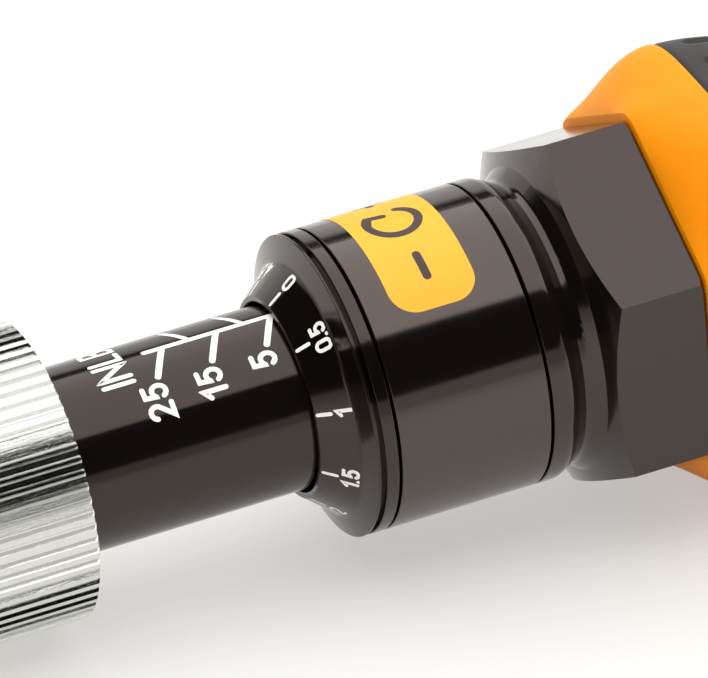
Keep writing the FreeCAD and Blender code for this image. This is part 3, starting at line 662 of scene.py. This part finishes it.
class PrintConeScale(bpy.types.Operator):
    """Print the rotating scale and its numbers on the scale ring's cone"""
    bl_idname = "screwdriver.print_cone_scale"
    bl_label = "Print Cone Scale"

    def execute(self, context):
        settings = context.scene.marking
        slope = math.radians(39.7)
        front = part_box("scale_ring")[0].x
        small = 9.87 * MM
        mesh = bmesh.new()
        for number in range(10):
            middle = math.radians(88.0 + 36.6 * number)

            def cone(u, v, lift, middle=middle):
                """Print coordinates on the cone: v runs up the slope towards the small end."""
                run = -v
                radius = small + run * math.sin(slope) + lift * math.cos(slope)
                station = front + run * math.cos(slope) - lift * math.sin(slope)
                return on_axis(station, radius, middle - u / (small + 2.6 * MM * math.sin(slope)))

            pen_stroke(mesh, [(0, -0.32 * MM), (0, -1.62 * MM)], settings.cone_line, cone,
                       settings.ink_lift)

            def foot(u, v, lift, cone=cone):
                """The same, with the numbers' feet at v = 0."""
                return cone(u, v - 3.92 * MM, lift)

            pen_text(mesh, "%g" % (number / 2), settings.cone_text, settings.cone_pen, foot,
                     settings.ink_lift, align=0.5, gap=0.16)
        ink = printed_ink("screen_printed_cone_scale", context.scene.finish.ink)
        print_object("cone_scale", mesh, ink, "adjuster")
        return {"FINISHED"}


class PrintSleevePanel(bpy.types.Operator):
    """Print a plain coloured panel with a turning arrow on the lock sleeve"""
    bl_idname = "screwdriver.print_sleeve_panel"
    bl_label = "Print Sleeve Panel"

    def execute(self, context):
        settings = context.scene.panel
        lift = context.scene.marking.ink_lift
        radius = settings.radius + lift
        half_length = (settings.rear - settings.front) / 2
        centre = (settings.rear + settings.front) / 2
        mesh = bmesh.new()
        rows = []
        steps = 40
        for step in range(steps + 1):
            along = -half_length * math.cos(math.pi * step / steps)
            corner = max(0.0, abs(along) - (half_length - settings.corner))
            cut = settings.corner - math.sqrt(max(0.0, settings.corner ** 2 - corner ** 2))
            half = settings.half_span - cut / radius
            rows.append([mesh.verts.new(on_axis(centre + along, radius,
                                                settings.middle + half * (column / 24 - 1)))
                         for column in range(49)])
        for first, second in zip(rows, rows[1:]):
            for column in range(48):
                mesh.faces.new((first[column], first[column + 1],
                                second[column + 1], second[column]))
        inks = context.scene.finish
        print_object("sleeve_panel", mesh, printed_ink("screen_printed_panel", inks.panel), "sleeve")

        def flat(u, v, height):
            """Print coordinates on the unrolled panel, with the middle at (0, 0)."""
            return on_axis(centre - v, radius + height, settings.middle - u / radius)

        sign = bmesh.new()
        pen = 0.85 * MM
        turn = [(u * MM, v * MM) for u, v in arc((0, 0), (2.5, 2.5), 50, 330, 40)]
        pen_stroke(sign, turn, pen, flat, 0.01 * MM)
        tip = Vector(turn[0])
        pen_stroke(sign, [tip + Vector((-1.35, 0.5)) * MM, tip, tip + Vector((-0.25, -1.45)) * MM],
                   pen, flat, 0.012 * MM)
        for side in (-1, 1):
            middle = side * 7.0 * MM
            pen_stroke(sign, [(middle - 1.3 * MM, 0), (middle + 1.3 * MM, 0)], pen, flat, 0.01 * MM)
        pen_stroke(sign, [(7.0 * MM, -1.3 * MM), (7.0 * MM, 1.3 * MM)], pen, flat, 0.012 * MM)
        dark = printed_ink("screen_printed_sign", linear("#3A2626"))
        print_object("sleeve_sign", sign, dark, "sleeve")
        return {"FINISHED"}


class SetStudio(bpy.types.Operator):
    """Lay the paper floor, hang the softbox and aim the camera"""
    bl_idname = "screwdriver.set_studio"
    bl_label = "Set Studio"

    def execute(self, context):
        settings = context.scene.studio
        scene = context.scene
        scene.view_settings.view_transform = "Standard"
        # The tool lies on the grip ring's edge and the handle's guard.
        tilt = math.radians(4.17)
        contact = Vector((104.6, 0, -20.93)) * MM
        along = Vector((math.cos(tilt), 0, -math.sin(tilt)))
        up = Vector((math.sin(tilt), 0, math.cos(tilt)))
        across = Vector((0, 1, 0))
        mesh = bmesh.new()
        count = 24
        grid = [[mesh.verts.new(contact + along * (4.5 * (2 * i / count - 1))
                                + across * (4.5 * (2 * j / count - 1)))
                 for j in range(count + 1)] for i in range(count + 1)]
        for i in range(count):
            for j in range(count):
                mesh.faces.new((grid[i][j], grid[i + 1][j], grid[i + 1][j + 1], grid[i][j + 1]))
        data = bpy.data.meshes.new("paper_floor")
        mesh.to_mesh(data)
        mesh.free()
        data.materials.append(white_card(settings.paper))
        floor = bpy.data.objects.new("paper_floor", data)
        scene.collection.objects.link(floor)

        lamp = bpy.data.lights.new("overhead_softbox", "AREA")
        lamp.shape = "RECTANGLE"
        lamp.size, lamp.size_y = 2.0, 2.4
        lamp.energy = settings.softbox * lamp.size * lamp.size_y * math.pi
        softbox = bpy.data.objects.new("overhead_softbox", lamp)
        softbox.location = (0.55, 0.49, 1.0)
        softbox.visible_camera = False
        scene.collection.objects.link(softbox)

        # The room: a pale backdrop behind the tool, dark walls in front of it and to the left.
        world = bpy.data.worlds.new("studio_room")
        scene.world = world
        world.use_nodes = True
        tree = world.node_tree
        tree.nodes.clear()
        ray = add_node(tree, "ShaderNodeTexCoord")
        part = add_node(tree, "ShaderNodeSeparateXYZ", {}, {"Vector": ray.outputs["Generated"]})
        behind = add_node(tree, "ShaderNodeMapRange", {
            "From Min": 0.5, "From Max": 0.85, "interpolation_type": "SMOOTHSTEP"},
            {"Value": part.outputs["Y"]})
        low = add_node(tree, "ShaderNodeMapRange", {
            "From Min": 0.42, "From Max": 0.28, "interpolation_type": "SMOOTHSTEP"},
            {"Value": part.outputs["Z"]})
        backdrop = add_node(tree, "ShaderNodeMath", {"operation": "MULTIPLY"}, {
            0: behind.outputs["Result"], 1: low.outputs["Result"]})
        table = add_node(tree, "ShaderNodeMapRange", {
            "From Min": 0.165, "From Max": 0.15, "To Max": 0.62}, {"Value": part.outputs["Z"]})
        paper = add_node(tree, "ShaderNodeMath", {"operation": "MAXIMUM"}, {
            0: backdrop.outputs["Value"], 1: table.outputs["Result"]})
        seen = add_node(tree, "ShaderNodeLightPath")
        shown = add_node(tree, "ShaderNodeMath", {"operation": "MAXIMUM"}, {
            0: paper.outputs["Value"], 1: seen.outputs["Is Camera Ray"]})
        fill = add_node(tree, "ShaderNodeMath", {"operation": "MULTIPLY", 1: settings.room}, {
            0: seen.outputs["Is Diffuse Ray"]})
        total = add_node(tree, "ShaderNodeMath", {"operation": "MAXIMUM"}, {
            0: shown.outputs["Value"], 1: fill.outputs["Value"]})
        glow = add_node(tree, "ShaderNodeBackground", {"Color": (1, 1, 1, 1)},
                        {"Strength": total.outputs["Value"]})
        add_node(tree, "ShaderNodeOutputWorld", {}, {"Surface": glow.outputs["Background"]})

        # The camera looks down on the near side of the scale, from a little in front.
        turn, roll, around = math.radians(72.9), math.radians(16.67), math.radians(34)
        out = Vector((-math.cos(turn), -math.sin(turn) * math.cos(around),
                      math.sin(turn) * math.sin(around)))
        axis_shown = (Vector((1, 0, 0)) - out * out.x).normalized()
        side = out.cross(axis_shown)
        right = math.cos(roll) * axis_shown - math.sin(roll) * side
        above = math.sin(roll) * axis_shown + math.cos(roll) * side
        spot = (Vector((62.3, 0, 0)) + 5.08 * right + 4.88 * above) * MM + out * settings.distance
        data = bpy.data.cameras.new("camera")
        data.lens = settings.lens
        data.sensor_width = 36
        data.clip_start, data.clip_end = 0.1, 50
        camera = bpy.data.objects.new("camera", data)
        camera.matrix_world = Matrix((
            (right.x, above.x, out.x, spot.x), (right.y, above.y, out.y, spot.y),
            (right.z, above.z, out.z, spot.z), (0, 0, 0, 1)))
        scene.collection.objects.link(camera)
        scene.camera = camera
        return {"FINISHED"}


OPERATORS = (FinishSteel, MakeSprings, FinishAnodised, FinishPlastics, MakeGrip,
             PrintBarrelScale, PrintConeScale, PrintSleevePanel, SetStudio)


class ScrewdriverPanel(bpy.types.Panel):
    """Sidebar panel that lists the settings and the steps"""
    bl_idname = "VIEW3D_PT_screwdriver"
    bl_label = "Torque Screwdriver"
    bl_space_type = "VIEW_3D"
    bl_region_type = "UI"
    bl_category = "Screwdriver"

    def draw(self, context):
        layout = self.layout
        for name, group in SETTINGS.items():
            box = layout.box()
            box.label(text=group.__doc__)
            for key in group.__annotations__:
                box.prop(getattr(context.scene, name), key)
        for operator in OPERATORS:
            layout.operator(operator.bl_idname)


def register():
    """Register the settings, the operators and the panel."""
    for name, group in SETTINGS.items():
        bpy.utils.register_class(group)
        setattr(bpy.types.Scene, name, bpy.props.PointerProperty(type=group))
    for operator in OPERATORS:
        bpy.utils.register_class(operator)
    bpy.utils.register_class(ScrewdriverPanel)


def unregister():
    """Remove what register added."""
    bpy.utils.unregister_class(ScrewdriverPanel)
    for operator in reversed(OPERATORS):
        bpy.utils.unregister_class(operator)
    for name, group in reversed(SETTINGS.items()):
        delattr(bpy.types.Scene, name)
        bpy.utils.unregister_class(group)


def main():
    """Build the whole scene."""
    register()
    bpy.ops.screwdriver.finish_steel()
    bpy.ops.screwdriver.make_springs()
    bpy.ops.screwdriver.finish_anodised()
    bpy.ops.screwdriver.finish_plastics()
    bpy.ops.screwdriver.make_grip()
    bpy.ops.screwdriver.print_barrel_scale()
    bpy.ops.screwdriver.print_cone_scale()
    bpy.ops.screwdriver.print_sleeve_panel()
    bpy.ops.screwdriver.set_studio()


if __name__ == "__main__":
    main()
